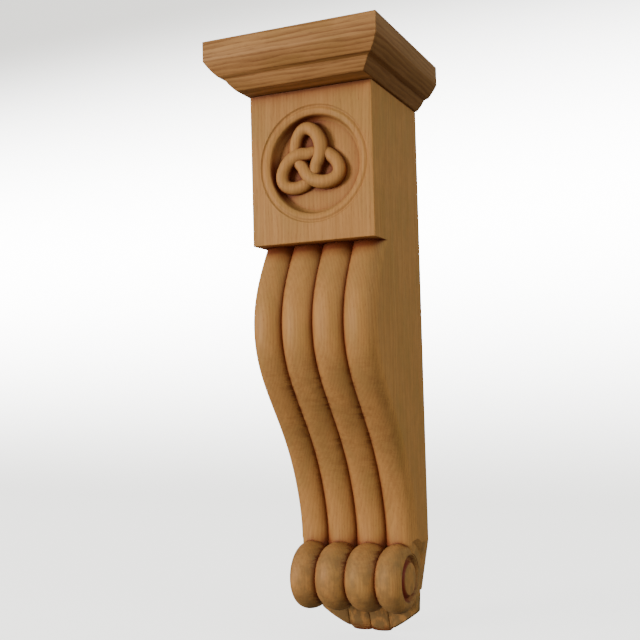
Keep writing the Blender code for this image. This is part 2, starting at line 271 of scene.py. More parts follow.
scroll = {
    "radius": 0.0150,
    "endInset": 0.0026,
    "endDrop": 0.0060,
    "wallGap": 0.0063,
    "belowNeck": 0.0212,
    "eyeRadius": 0.0090,
    "grooveWidth": 0.0044,
    "grooveDepth": 0.0028,
    "eyeStands": 0.0006,
    "cheekGap": 0.0006,
    "cheekInset": 0.0024,
    "cheekSlope": 0.0030,
    "hollowInset": 0.0060,
    "hollowRim": 0.0010,
    "turnSteps": 128,
    "eyeSteps": 10,
}
scrollCrest = scroll["radius"] + body["reedRise"]
scrollY = -(scrollCrest + scroll["wallGap"])
scrollZ = neckZ - scroll["belowNeck"]
scrollHalf = halfWidth - scroll["endInset"]

tail = {
    "halfWidth": 0.0304,
    "innerHalfWidth": 0.0122,
    "headBelowScroll": 0.0037,
    "headDepth": 0.0139,
    "footDepth": 0.0032,
    "grooveDepth": 0.0014,
    "grooveWidth": 0.0015,
    "notch": 0.0009,
    "outerStep": 0.0014,
    "outerRise": 0.0110,
    "edge": 0.0010,           # how high the rounding of the lower edge starts
    "edgeRise": 0.3,          # its middle point: the share of that height, and of the depth
    "edgeOut": 0.85,
    "edgeIn": 0.5,
    "endRise": 0.0229,
    "endWidth": 0.0005,
    "stripBelowNeck": 0.0030,
    "coreBelowScroll": 0.0111,
    "lobeSteps": 14,
    "slopeSteps": 10,
}


def reedHeight(across):
    pastCrest = (abs(across) - outerCrest) / (reedPitch / 2.0)
    if pastCrest > 0.0:
        return body["reedRise"] - body["outerDrop"] * (1.0 - math.sqrt(max(0.0, 1.0 - pastCrest**2)))
    half = reedPitch / 2.0
    offset = (across + halfWidth) % reedPitch - half
    radius = (half**2 + body["reedRise"]**2) / (2.0 * body["reedRise"])
    return max(0.0, math.sqrt(radius**2 - offset**2) - (radius - body["reedRise"]))


def valleyDepth(z):
    if z >= bulgeZ:
        rise = (z - bulgeZ) / body["bulgeDrop"]
        fall = (body["bulgeDepth"] - body["topDepth"]) * (1.0 - math.cos(math.pi / 2.0 * rise))
        return body["bulgeDepth"] - fall
    t = min(1.0, (bulgeZ - z) / body["sweepDrop"])
    lean = t + body["sweepLean"] * math.sin(math.pi * t) ** 2
    swing = 0.5 * (1.0 + math.cos(math.pi * lean))
    return body["neckDepth"] + (body["bulgeDepth"] - body["neckDepth"]) * swing


def innerPoints():
    count = (body["reedCount"] - 1) * body["reedSteps"]
    return [outerCrest * (2.0 * k / count - 1.0) for k in range(count + 1)]


def acrossPoints():
    flank = []
    for k in range(1, body["flankSteps"] + 1):
        flank.append(outerCrest + reedPitch / 2.0 * math.sin(math.pi / 2.0 * k / body["flankSteps"]))
    return [-x for x in reversed(flank)] + innerPoints() + flank


def bodyRing(z, half, sideDepth, depthAt):
    front = [(x * half / halfWidth, -depthAt(x), z) for x in acrossPoints()]
    side = [(half, -sideDepth, z), (half, pastWall, z)]
    return [(-half, pastWall, z), (-half, -sideDepth, z), *front, *side]


def blockRing(z, shrink):
    # a level of the block with sanded corners; shrink draws its front back
    rounding = body["edgeRound"]

    def depthAt(x):
        edge = max(0.0, abs(x) - (halfWidth - rounding)) / rounding
        return body["blockDepth"] - shrink - rounding * (1.0 - math.sqrt(max(0.0, 1.0 - edge**2)))

    return bodyRing(z, halfWidth, body["topDepth"] + reedHeight(halfWidth), depthAt)


def stripHalfWidth(z):
    top = neckZ - tail["stripBelowNeck"]
    foot = scrollZ - scrollCrest
    return halfWidth + (tail["halfWidth"] - halfWidth) * (top - z) / (top - foot)


def consoleRing(z, half):
    valley = valleyDepth(z)
    return bodyRing(z, half, valley + reedHeight(halfWidth), lambda x: valley + reedHeight(x))


def makeCore():
    rounding = body["edgeRound"]
    rings = [blockRing(blockTop, 0.0)]
    for k in range(body["roundSteps"] + 1):
        turn = math.pi / 2.0 * k / body["roundSteps"]
        z = blockBase + rounding * (1.0 - math.sin(turn))
        rings.append(blockRing(z, rounding * (1.0 - math.cos(turn))))
    for k in range(body["bulgeSteps"]):
        rings.append(consoleRing(blockBase - body["bulgeDrop"] * k / body["bulgeSteps"], halfWidth))
    for k in range(body["sweepSteps"] + 1):
        rings.append(consoleRing(bulgeZ - body["sweepDrop"] * k / body["sweepSteps"], halfWidth))
    for z in (neckZ - tail["stripBelowNeck"], scrollZ, scrollZ - tail["coreBelowScroll"]):
        rings.append(consoleRing(z, stripHalfWidth(z)))
    return loftRings("body_wood_carving", rings)


roundel = {
    "across": 0.0016,
    "down": 0.0416,
    "grooveRadius": 0.0318,
    "grooveHalf": 0.0010,
    "grooveDepth": 0.0009,
    "dishRadius": 0.0272,
    "dishDepth": 0.0062,
    "dishLip": 0.0012,
    "ringSetback": 0.0002,
    "turnSteps": 160,
}
roundelCentre = Vector((roundel["across"], -body["blockDepth"], blockTop - roundel["down"]))


def smoothLine(points):
    # cuts the corners of a profile again and again, which leaves a smooth curve; the ends stay
    near, far = 1.0 - cornerCut, cornerCut
    for _ in range(profileRounds):
        finer = [points[0]]
        for a, b in zip(points, points[1:]):
            finer.append((a[0] * near + b[0] * far, a[1] * near + b[1] * far))
            finer.append((a[0] * far + b[0] * near, a[1] * far + b[1] * near))
        finer.append(points[-1])
        points = finer
    return points


def makeRoundelTool():
    groove, dish = roundel["grooveRadius"], roundel["dishRadius"]
    half, deep, lip = roundel["grooveHalf"], roundel["grooveDepth"], roundel["dishLip"]
    ringSide = [
        (groove + half, 0.0),
        (groove, -deep),
        (groove - half, -deep / 2.0),
        ((groove + dish + lip) / 2.0, -roundel["ringSetback"]),
        (dish + lip, -lip / 2.0),
        (dish, -lip),
        (dish - lip / 2.0, -roundel["dishDepth"] + lip),
        (dish - lip * 2.0, -roundel["dishDepth"]),
    ]
    profile = [(0.0, pastWall), (groove + half + roundel["ringSetback"], pastWall)]
    profile += smoothLine(ringSide)
    profile.append((0.0, -roundel["dishDepth"]))
    tool = turnProfile("roundel_tool", profile, roundel["turnSteps"])
    tool.rotation_euler = (math.pi / 2.0, 0.0, 0.0)
    tool.location = roundelCentre
    return applyAll(tool)


knot = {
    "across": -0.0043,
    "up": 0.0018,
    "radius": 0.0119,
    "pinch": 0.61,
    "swell": 0.31,
    "turn": 95.0,           # degrees
    "lobes": 3,
    "halfWidth": 0.0037,
    "round": 0.0030,
    "setback": 0.0010,
    "weave": 0.0010,
    "short": 2.0,           # degrees before a crossing's middle where a strand ends
    "skewSpan": 26.0,       # degrees over which its end turns to the strand above
    "shiftRounds": 12,      # rounds that settle where the strands cross
    "strandSteps": 90,
    "arcSteps": 9,
}
knotWave = knot["lobes"] / 2.0
knotLength = 2.0 * math.pi / knotWave


def knotPoint(s):
    radius = knot["radius"] * (1.0 + knot["pinch"] * math.cos(knotWave * s))
    angle = s + math.radians(knot["turn"]) - knot["swell"] * math.sin(knotWave * s)
    return np.array([radius * math.cos(angle), radius * math.sin(angle)])


def knotDirection(s):
    step = 0.0001
    along = knotPoint(s + step) - knotPoint(s - step)
    return along / np.linalg.norm(along)


def crossingShift():
    shift = knot["swell"]
    for _ in range(knot["shiftRounds"]):
        shift = knot["swell"] * math.cos(knotWave * shift)
    return shift


def strandRing(s, overS, skew):
    along = knotDirection(s)
    side = np.array([-along[1], along[0]])
    cover = knotDirection(overS)
    if cover @ side < 0.0:
        cover = -cover
    lean = side + skew * (cover - side)
    lean = lean / (lean @ side)
    top = -knot["setback"] - knot["weave"] * math.sin(knotWave * s)
    half = []
    for k in range(knot["arcSteps"]):
        turn = math.pi / 2.0 * k / (knot["arcSteps"] - 1)
        half.append((knot["halfWidth"] * math.sin(turn), top - knot["round"] * (1.0 - math.cos(turn))))
    half.append((knot["halfWidth"], -roundel["dishDepth"] - roundel["dishLip"]))
    section = [(-across, height) for across, height in reversed(half)] + half[1:]
    here = knotPoint(s) + np.array([roundelCentre.x + knot["across"], roundelCentre.z + knot["up"]])
    ring = []
    for across, height in section:
        x, z = here + lean * across
        ring.append((x, -body["blockDepth"] - height, z))
    return ring


def makeStrands():
    shift = crossingShift()
    short = math.radians(knot["short"])
    skewSpan = math.radians(knot["skewSpan"])
    strands = []
    for number in range(knot["lobes"]):
        crossing = knotLength * (number + 0.25)
        under, over = crossing + shift, crossing + 2.0 * math.pi - shift
        rings = []
        for k in range(knot["strandSteps"] + 1):
            pastStart = short + (knotLength - 2.0 * short) * k / knot["strandSteps"]
            toEnd = knotLength - pastStart
            cover = over if pastStart < toEnd else over + knotLength
            skew = max(0.0, 1.0 - (min(pastStart, toEnd) - short) / skewSpan)
            rings.append(strandRing(under + pastStart, cover, skew))
        strands.append(loftRings(f"strand_{number + 1}", rings))
    return strands


def makeScroll():
    endRadius = scroll["eyeRadius"] + scroll["grooveWidth"]
    eye = []
    for k in range(scroll["eyeSteps"] + 1):
        turn = math.pi / 2.0 * k / scroll["eyeSteps"]
        dome = scrollHalf + scroll["eyeStands"] * math.cos(turn)
        eye.append((scroll["eyeRadius"] * math.sin(turn), dome))
    groove = [
        eye[-1],
        ((scroll["eyeRadius"] + endRadius) / 2.0, scrollHalf - scroll["grooveDepth"]),
        (scrollCrest - scroll["endDrop"], scrollHalf),
    ]
    half = eye[:-1] + smoothLine(groove)[:-1]
    for k in range(body["flankSteps"]):
        turn = math.pi / 2.0 * (1.0 - k / body["flankSteps"])
        radius = scrollCrest - scroll["endDrop"] * (1.0 - math.cos(turn))
        half.append((radius, outerCrest + (scrollHalf - outerCrest) * math.sin(turn)))
    reeds = [(scroll["radius"] + reedHeight(x), x) for x in reversed(innerPoints())]
    other = [(radius, -x) for radius, x in reversed(half)]
    made = turnProfile("scroll_roll", half + reeds + other, scroll["turnSteps"])
    made.rotation_euler = (0.0, math.pi / 2.0, 0.0)
    made.location = (0.0, scrollY, scrollZ)
    return applyAll(made)


def makeCheekTool(side):
    radius = scrollCrest + scroll["cheekGap"]
    hollow = scroll["eyeRadius"] + scroll["grooveWidth"] + scroll["hollowRim"]
    profile = [
        (0.0, pastWall), (radius + scroll["cheekSlope"], pastWall), (radius + scroll["cheekSlope"], 0.0),
        (radius, -scroll["cheekInset"]), (hollow, -scroll["cheekInset"]),
        (hollow, -scroll["hollowInset"]), (0.0, -scroll["hollowInset"]),
    ]
    tool = turnProfile("cheek_tool", profile, scroll["turnSteps"])
    tool.rotation_euler = (0.0, side * math.pi / 2.0, 0.0)
    tool.location = (side * halfWidth, scrollY, scrollZ)
    return applyAll(tool)


def tailColumns():
    columns = []
    outerStart = tail["innerHalfWidth"] + tail["grooveWidth"]
    steps = tail["lobeSteps"]
    lobes = (
        (0.0, tail["innerHalfWidth"], 0.0, 0.0),
        (outerStart, tail["halfWidth"] - outerStart, tail["outerStep"], tail["outerRise"]),
    )
    for start, width, step, rise in lobes:
        for k in range(steps + 1):
            share = 0.5 - 0.5 * math.cos(math.pi * k / steps)
            crown = math.sqrt(max(0.0, 1.0 - (2.0 * share - 1.0) ** 2))
            foot = footZ + step + rise * share + tail["notch"] * (1.0 - crown)
            columns.append((start + width * share, foot, crown))
    columns.append((tail["halfWidth"] + tail["endWidth"], footZ + tail["endRise"], 0.0))
    return columns


def tailRing(across, foot, crown):
    headZ = scrollZ - tail["headBelowScroll"]

    def depthAt(z):
        share = (headZ - z) / (headZ - footZ)
        depth = tail["headDepth"] + (tail["footDepth"] - tail["headDepth"]) * share
        return depth - tail["grooveDepth"] * (1.0 - crown)

    ring = [(across, pastWall, headZ)]
    for k in range(tail["slopeSteps"] + 1):
        z = headZ + (foot + tail["edge"] - headZ) * k / tail["slopeSteps"]
        ring.append((across, -depthAt(z), z))
    ring.append((across, -depthAt(foot) * tail["edgeOut"], foot + tail["edge"] * tail["edgeRise"]))
    ring.append((across, -depthAt(foot) * tail["edgeIn"], foot))
    ring.append((across, pastWall, foot))
    return ring


def makeTail():
    right = tailColumns()
    left = [(-across, foot, crown) for across, foot, crown in reversed(right[1:])]
    return loftRings("tail_leaf", [tailRing(*column) for column in left + right])


def makeWallTool():
    bm = bmesh.new()
    bmesh.ops.create_cube(bm, size=1.0)
    depth = body["blockDepth"]
    spare = 4.0     # well past the body on every side
    bmesh.ops.scale(bm, vec=(halfWidth * spare, depth, topZ * spare), verts=bm.verts)
    bmesh.ops.translate(bm, vec=(0.0, depth / 2.0, 0.0), verts=bm.verts)
    return linkMesh("wall_tool", bm)


def makeBody():
    made = makeCore()
    carve(made, makeRoundelTool(), "DIFFERENCE")
    for strand in makeStrands():
        carve(made, strand, "UNION")
    for side in (-1, 1):
        carve(made, makeCheekTool(side), "DIFFERENCE")
    carve(made, makeTail(), "UNION")
    carve(made, makeWallTool(), "DIFFERENCE")
    carve(made, makeScroll(), "UNION")
    smoothBy(made, body["sharpFrom"])
    return made


def bodyRun(face):
    # the grain runs up the piece; its flat sides get painted shade, and the scroll and the tail are darker
    pastNeck = (scrollZ + scrollCrest - face.center.z) / body["footFade"]
    pastScroll = (scrollZ - scroll["radius"] - face.center.z) / body["footFade"]
    dark = body["footTone"] * max(0.0, min(1.0, pastNeck))
    dark += body["tailTone"] * max(0.0, min(1.0, pastScroll))
    if abs(face.normal.x) > body["sideFacing"] and abs(face.center.x) > halfWidth - body["edgeRound"]:
        dark = max(dark, body["sideToneAndShade"])
    return (lambda co: (co.z, co.x, -co.y)), dark


bodyPiece = makeBody()
markGrain(bodyPiece, bodyRun)
print("body made:", len(bodyPiece.data.polygons), "faces")


# Shader nodes

def newGroup(name, inputs, outputs):
    group = bpy.data.node_groups.new(name, "ShaderNodeTree")
    for label, kind, default in inputs:
        socket = group.interface.new_socket(name=label, in_out="INPUT", socket_type=kind)
        if default is not None:
            socket.default_value = default
    for label in outputs:
        group.interface.new_socket(name=label, in_out="OUTPUT", socket_type="NodeSocketFloat")
    return group, Wiring(group)


class Wiring:
    # short calls for adding and joining nodes in one tree

    def __init__(self, tree):
        self.tree = tree

    def add(self, kind, values=None, **settings):
        node = self.tree.nodes.new(kind)
        for key, value in settings.items():
            setattr(node, key, value)
        for key, value in (values or {}).items():
            self.feed(node.inputs[key], value)
        return node

    def feed(self, socket, value):
        if isinstance(value, bpy.types.NodeSocket):
            self.tree.links.new(value, socket)
        else:
            socket.default_value = value

    def math(self, operation, a, b=0.0):
        return self.add("ShaderNodeMath", {0: a, 1: b}, operation=operation).outputs[0]

    def times(self, a, b):
        return self.math("MULTIPLY", a, b)

    def minus(self, a, b):
        return self.math("SUBTRACT", a, b)

    def hypot(self, a, b):
        return self.math("SQRT", self.math("ADD", self.math("POWER", a, 2.0), self.math("POWER", b, 2.0)))

    def spread(self, value, low, high, newLow=0.0, newHigh=1.0):
        values = {"Value": value, "From Min": low, "From Max": high, "To Min": newLow, "To Max": newHigh}
        return self.add("ShaderNodeMapRange", values, interpolation_type="SMOOTHSTEP").outputs[0]

    def noise(self, where, stretch, detail=2.0, roughness=0.5):
        mapped = self.add("ShaderNodeMapping", {"Vector": where, "Scale": stretch}).outputs[0]
        values = {"Vector": mapped, "Scale": 1.0, "Detail": detail, "Roughness": roughness}
        return self.add("ShaderNodeTexNoise", values).outputs["Fac"]

    def blend(self, share, a, b):
        node = self.add("ShaderNodeMix", data_type="RGBA", blend_type="MIX")
        self.feed(node.inputs["Factor"], share)
        self.feed(node.inputs["A"], a)
        self.feed(node.inputs["B"], b)
        return node.outputs["Result"]

    def putOut(self, results):
        out = self.add("NodeGroupOutput")
        for label, value in results.items():
            self.feed(out.inputs[label], value)


# Grain, and the torn fibre ends where a cut runs across it

pattern = {
    # how often each noise repeats in a metre, along the grain and across it
    "slow": (11.0, 55.0, 55.0),
    "fine": (60.0, 1500.0, 1500.0),
    "streaks": (17.0, 380.0, 380.0),
    "pores": (260.0, 3300.0, 3300.0),
    "patches": (28.0, 60.0, 60.0),
    "mottle": (130.0, 190.0, 190.0),
    "dashes": (640.0, 150.0, 150.0),
    "clumps": (60.0, 110.0, 110.0),
    # where each mask starts and where it is full, with its strengths there if not 0 and 1
    "earlyWood": (0.15, 0.86),
    "lateWood": (0.90, 1.0),
    "poreMask": (0.60, 0.72),
    "poreByRing": (0.0, 0.9, 0.45, 1.0),
    "dashMask": (0.45, 0.58),
    "clumpMask": (0.34, 0.54),
    "endMask": (0.10, 0.55),
    # how much each of the two counts in the fibres
    "fineShare": 0.45,
    "streakShare": 0.55,
}


def makeGrainGroup():
    # growth rings, fine fibres, short pores and slow patches, all along the coordinate's X
    inputs = [
        ("Grain", "NodeSocketVector", None),
        ("Ring Spacing", "NodeSocketFloat", 0.0030),
        ("Heart Across", "NodeSocketFloat", 0.03),
        ("Heart Down", "NodeSocketFloat", 0.2),
        ("Waver", "NodeSocketFloat", 0.004),
    ]
    group, wire = newGroup("wood_grain", inputs, ("Rings", "Fibres", "Pores", "Patches", "Mottle"))
    given = wire.add("NodeGroupInput").outputs
    where = given["Grain"]

    slow = wire.noise(where, pattern["slow"], 3.0, 0.55)
    waver = wire.times(wire.minus(slow, 0.5), given["Waver"])
    parts = wire.add("ShaderNodeSeparateXYZ", {0: where}).outputs
    across = wire.minus(parts[1], given["Heart Across"])
    fromHeart = wire.hypot(across, wire.minus(parts[2], given["Heart Down"]))
    turns = wire.math("DIVIDE", wire.math("ADD", fromHeart, waver), given["Ring Spacing"])
    share = wire.math("FRACT", turns)
    rings = wire.minus(wire.spread(share, *pattern["earlyWood"]), wire.spread(share, *pattern["lateWood"]))

    fine = wire.times(wire.noise(where, pattern["fine"], 3.0, 0.65), pattern["fineShare"])
    streaks = wire.times(wire.noise(where, pattern["streaks"]), pattern["streakShare"])
    specks = wire.spread(wire.noise(where, pattern["pores"], 1.0), *pattern["poreMask"])
    wire.putOut({
        "Rings": rings,
        "Fibres": wire.math("ADD", fine, streaks),
        "Pores": wire.times(specks, wire.spread(rings, *pattern["poreByRing"])),
        "Patches": wire.noise(where, pattern["patches"], 3.0, 0.6),
        "Mottle": wire.noise(where, pattern["mottle"], 3.0, 0.6),
    })
    return group


def makeTornGroup():
    # short dark flecks across the grain where the carving cuts over the fibre ends
    inputs = [("Grain", "NodeSocketVector", None), ("Along", "NodeSocketVector", (0.0, 0.0, 1.0))]
    group, wire = newGroup("wood_torn", inputs, ("Flecks", "Ends"))
    given = wire.add("NodeGroupInput").outputs
    facing = wire.add("ShaderNodeNewGeometry").outputs["Normal"]
    along = wire.add("ShaderNodeVectorMath", {0: facing, 1: given["Along"]}, operation="DOT_PRODUCT")
    ends = wire.spread(wire.math("ABSOLUTE", along.outputs["Value"]), *pattern["endMask"])
    dashes = wire.spread(wire.noise(given["Grain"], pattern["dashes"], 2.0, 0.6), *pattern["dashMask"])
    clumps = wire.spread(wire.noise(given["Grain"], pattern["clumps"]), *pattern["clumpMask"])
    wire.putOut({"Flecks": wire.times(wire.times(dashes, clumps), ends), "Ends": ends})
    return group


# Painted shade in cuts and hollows, and outer edges for wear, told by how much of the sky a point sees

shadeAndEdgeMasks = {
    # the share of the sky where each mask starts and where it is full
    "hollow": (0.94, 0.45),
    "creviceShade": (0.80, 0.50),
    "edge": (0.70, 0.35),
    "samples": 12,
}


def makeShadeAndEdgeGroup():
    # painted shade where the surface lies in a cut or under a ledge, and where it is an outer edge
    inputs = [
        ("Reach", "NodeSocketFloat", 0.010), ("Line Reach", "NodeSocketFloat", 0.0062),
        ("Edge Reach", "NodeSocketFloat", 0.0016),
    ]
    group, wire = newGroup("wood_cut_shade_and_edges", inputs, ("Hollow Shade", "Crevice Shade", "Edge"))
    given = wire.add("NodeGroupInput").outputs

    def seen(reach, **settings):
        values = {"Distance": given[reach]}
        node = wire.add("ShaderNodeAmbientOcclusion", values, samples=shadeAndEdgeMasks["samples"], **settings)
        return node.outputs["AO"]

    wire.putOut({
        "Hollow Shade": wire.spread(seen("Reach"), *shadeAndEdgeMasks["hollow"]),
        "Crevice Shade": wire.spread(seen("Line Reach"), *shadeAndEdgeMasks["creviceShade"]),
        "Edge": wire.spread(seen("Edge Reach", inside=True), *shadeAndEdgeMasks["edge"]),
    })
    return group


# Painted shade in the grooves round the scroll's eyes

eyeShadeMasks = {
    "inner": (-0.15, 0.15),             # shares of the groove's width
    "outer": (0.60, 1.0),
    "front": (0.5, -0.45, 0.25, 1.0),
    "endShare": 1.2,                    # how far in from the scroll's end, in groove depths
}


def makeEyeShadeGroup():
    # painted shade in the groove round each eye of the scroll, darkest towards the front
    inputs = [
        ("Centre", "NodeSocketVector", None), ("Inner", "NodeSocketFloat", 0.009),
        ("Outer", "NodeSocketFloat", 0.0134), ("From Middle", "NodeSocketFloat", 0.03),
    ]
    group, wire = newGroup("scroll_eye_shade", inputs, ("Groove Shade",))
    given = wire.add("NodeGroupInput").outputs
    place = wire.add("ShaderNodeTexCoord").outputs["Object"]
    offset = wire.add("ShaderNodeVectorMath", {0: place, 1: given["Centre"]}, operation="SUBTRACT")
    x, y, z = wire.add("ShaderNodeSeparateXYZ", {0: offset.outputs["Vector"]}).outputs
    radius = wire.hypot(y, z)
    width = wire.minus(given["Outer"], given["Inner"])
    share = wire.math("DIVIDE", wire.minus(radius, given["Inner"]), width)
    band = wire.minus(wire.spread(share, *eyeShadeMasks["inner"]), wire.spread(share, *eyeShadeMasks["outer"]))
    front = wire.spread(wire.math("DIVIDE", y, radius), *eyeShadeMasks["front"])
    end = wire.math("GREATER_THAN", wire.math("ABSOLUTE", x), given["From Middle"])
    wire.putOut({"Groove Shade": wire.times(wire.times(band, front), end)})
    return group


grainGroup = makeGrainGroup()
shadeAndEdgeGroup = makeShadeAndEdgeGroup()
tornGroup = makeTornGroup()
eyeShadeGroup = makeEyeShadeGroup()


# The two woods

capWood = {
    "pale": (0.410, 0.205, 0.076, 1.0),
    "dark": (0.190, 0.074, 0.022, 1.0),
    "pore": (0.110, 0.036, 0.010, 1.0),
    "olive": (0.270, 0.138, 0.038, 1.0),
    "shade": (0.135, 0.031, 0.008, 1.0),
    "creviceShade": (0.080, 0.018, 0.005, 1.0),
    "worn": (0.46, 0.225, 0.085, 1.0),
    "deepToneAndShade": (0.120, 0.046, 0.014, 1.0),
    "ringSpacing": 0.0024,
    "heartAcross": 0.125,
    "heartDown": 0.30,
    "waver": 0.0080,
    "ringShare": 0.52,
    "fibreShare": 0.45,
    "roughness": 0.58,
    "hollowShadeShare": 0.36,    # how dark the painted shade in the hollows and the narrow cuts is
    "creviceShadeShare": 0.65,
    "mottle": 0.0,          # how uneven the darker tone and the painted side shade are
    "torn": 0.0,            # how much the torn end grain shows where a cut runs across the fibres
    "eye": 0.0,             # how dark the painted shade in the grooves round the scroll's eyes is
}

bodyWood = {
    "pale": (0.445, 0.212, 0.065, 1.0),
    "dark": (0.290, 0.124, 0.036, 1.0),
    "pore": (0.180, 0.064, 0.018, 1.0),
    "olive": (0.330, 0.178, 0.048, 1.0),
    "shade": (0.225, 0.056, 0.012, 1.0),
    "creviceShade": (0.125, 0.022, 0.006, 1.0),
    "worn": (0.56, 0.290, 0.115, 1.0),
    # the colour of the darker scroll and tail, and of the painted shade on the flat sides
    "deepToneAndShade": (0.180, 0.100, 0.035, 1.0),
    "ringSpacing": 0.0016,
    "heartAcross": -0.21,
    "heartDown": 0.27,
    "waver": 0.0075,
    "ringShare": 0.30,
    "fibreShare": 0.42,
    "roughness": 0.60,
    # painted shade in the hollows and the narrow cuts
    "hollowShadeShare": 0.78,
    "creviceShadeShare": 0.90,
    "mottle": 0.75,
    "torn": 1.0,
    "tornFade": 0.012,      # half the height over which the torn grain starts, at the bulge
    "tornColour": (0.120, 0.034, 0.009, 1.0),
    "ends": 0.36,           # how much darker the wood is where a cut runs across the fibres
    "endGrain": (0.190, 0.108, 0.042, 1.0),
    # painted shade in the grooves round the scroll's eyes
    "eye": 1.0,
    "eyeGrooveShade": (0.150, 0.015, 0.007, 1.0),
}

surface = {
    # masks, given as in the patterns above
    "fibreMask": (0.34, 0.68),
    "ringByPatch": (0.3, 0.6, 0.4, 1.2),
    "oliveByPatch": (0.42, 0.72, 0.0, 0.55),
    "mottleMask": (0.36, 0.64),
    "endsByPatch": (0.3, 0.65, 0.6, 1.0),
    "tornByHollow": (0.0, 0.35, 0.16, 1.0),
    "roughMask": (0.2, 0.8),
    "poreShare": 0.45,
    "wornShare": 0.20,
    "smoother": 0.06,       # how far the roughness goes below and above its middle
    "rougher": 0.10,
    "fibreRelief": 0.5,
    "poreRelief": 0.6,
    "ringRelief": 0.25,
    "bumpStrength": 0.35,
    "bumpDistance": 0.00012,
    "specular": 0.22,
}


def figuredColour(wire, look, grain):
    # the bare wood's own colour, from its rings, fibres, patches and pores
    patches = grain["Patches"]
    fibreShare = wire.spread(grain["Fibres"], *surface["fibreMask"])
    ringShare = wire.times(grain["Rings"], look["ringShare"])
    ringShare = wire.times(ringShare, wire.spread(patches, *surface["ringByPatch"]))
    darkShare = wire.math("ADD", ringShare, wire.times(fibreShare, look["fibreShare"]))
    colour = wire.blend(darkShare, look["pale"], look["dark"])
    colour = wire.blend(wire.spread(patches, *surface["oliveByPatch"]), colour, look["olive"])
    return wire.blend(wire.times(grain["Pores"], surface["poreShare"]), colour, look["pore"])


def toneAndShadeShare(wire, look, grain):
    # how dark each face is marked, painted shade on the body's flat sides included, made uneven
    toneAndShade = wire.add("ShaderNodeAttribute", attribute_name="toneAndShade").outputs["Fac"]
    if not look["mottle"]:
        return toneAndShade
    least, most = 1.0 - look["mottle"], 1.0 + look["mottle"]
    return wire.times(toneAndShade, wire.spread(grain["Mottle"], *surface["mottleMask"], least, most))


def addTornGrain(wire, look, colour, where, patches, hollow):
    torn = wire.add("ShaderNodeGroup", {"Grain": where}, node_tree=tornGroup).outputs
    ends = wire.times(torn["Ends"], wire.spread(patches, *surface["endsByPatch"]))
    colour = wire.blend(wire.times(ends, look["ends"]), colour, look["endGrain"])
    lying = wire.spread(hollow, *surface["tornByHollow"])
    place = wire.add("ShaderNodeTexCoord").outputs["Object"]
    height = wire.add("ShaderNodeSeparateXYZ", {0: place}).outputs[2]
    below = wire.spread(height, bulgeZ + look["tornFade"], bulgeZ - look["tornFade"], 0.0, look["torn"])
    return wire.blend(wire.times(wire.times(torn["Flecks"], lying), below), colour, look["tornColour"])


# painted shade darkening the grooves round the scroll's eyes
def addEyeGrooveShade(wire, look, colour):
    values = {
        "Centre": (0.0, scrollY, scrollZ),
        "Inner": scroll["eyeRadius"],
        "Outer": scroll["eyeRadius"] + scroll["grooveWidth"],
        "From Middle": scrollHalf - scroll["grooveDepth"] * eyeShadeMasks["endShare"],
    }
    eye = wire.add("ShaderNodeGroup", values, node_tree=eyeShadeGroup)
    return wire.blend(wire.times(eye.outputs["Groove Shade"], look["eye"]), colour, look["eyeGrooveShade"])


def makeWood(name, look):
    made = bpy.data.materials.new(name)
    made.use_nodes = True
    wire = Wiring(made.node_tree)
    shader = made.node_tree.nodes["Principled BSDF"]
    where = wire.add("ShaderNodeAttribute", attribute_name="grain").outputs["Vector"]
    values = {
        "Grain": where, "Ring Spacing": look["ringSpacing"], "Heart Across": look["heartAcross"],
        "Heart Down": look["heartDown"], "Waver": look["waver"],
    }
    grain = wire.add("ShaderNodeGroup", values, node_tree=grainGroup).outputs
    cuts = wire.add("ShaderNodeGroup", node_tree=shadeAndEdgeGroup).outputs

    colour = figuredColour(wire, look, grain)
    # painted shade in the hollows
    colour = wire.blend(wire.times(cuts["Hollow Shade"], look["hollowShadeShare"]), colour, look["shade"])
    # the darker cap side lengths, scroll and tail, and painted shade on the body's flat sides
    colour = wire.blend(toneAndShadeShare(wire, look, grain), colour, look["deepToneAndShade"])
    if look["torn"]:
        colour = addTornGrain(wire, look, colour, where, grain["Patches"], cuts["Hollow Shade"])
    if look["eye"]:
        colour = addEyeGrooveShade(wire, look, colour)
    # painted shade in the narrow cuts
    colour = wire.blend(wire.times(cuts["Crevice Shade"], look["creviceShadeShare"]), colour, look["creviceShade"])
    colour = wire.blend(wire.times(cuts["Edge"], surface["wornShare"]), colour, look["worn"])
    wire.feed(shader.inputs["Base Color"], colour)

    smoothest, roughest = look["roughness"] - surface["smoother"], look["roughness"] + surface["rougher"]
    rough = wire.spread(grain["Fibres"], *surface["roughMask"], smoothest, roughest)
    wire.feed(shader.inputs["Roughness"], rough)
    fibres = wire.times(grain["Fibres"], surface["fibreRelief"])
    height = wire.minus(fibres, wire.times(grain["Pores"], surface["poreRelief"]))
    height = wire.minus(height, wire.times(grain["Rings"], surface["ringRelief"]))
    relief = {"Height": height, "Strength": surface["bumpStrength"], "Distance": surface["bumpDistance"]}
    bump = wire.add("ShaderNodeBump", relief)
    wire.feed(shader.inputs["Normal"], bump.outputs["Normal"])
    shader.inputs["Specular IOR Level"].default_value = surface["specular"]
    return made


def dress(piece, material, node):
    piece.data.materials.clear()
    piece.data.materials.append(material)
    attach(piece, "root")
    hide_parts(node)


dress(capPiece, makeWood("cap_wood_look", capWood), "cap_moulding")
dress(bodyPiece, makeWood("body_wood_look", bodyWood), "carved_body")
print("wood made")


# The floor with its curved backdrop, which glows with painted light, brightest behind the object

stage = {
    "width": 16.0,
    "front": -4.0,
    "back": 1.4,
    "height": 3.2,
    "bend": 0.8,
    "bendSteps": 24,
    "colour": (0.80, 0.80, 0.81, 1.0),
    "midGlow": 14.0,        # how brightly its painted glow shines behind the object
    "midHeight": 0.33,      # the height where it is brightest
    "reach": 0.60,          # how far above and below that it fades out
    "lowGlow": 1.2,         # how brightly its painted glow shines beyond
    "gap": 0.002,           # the floor lies this far below the tail
    "roughness": 0.9,
}


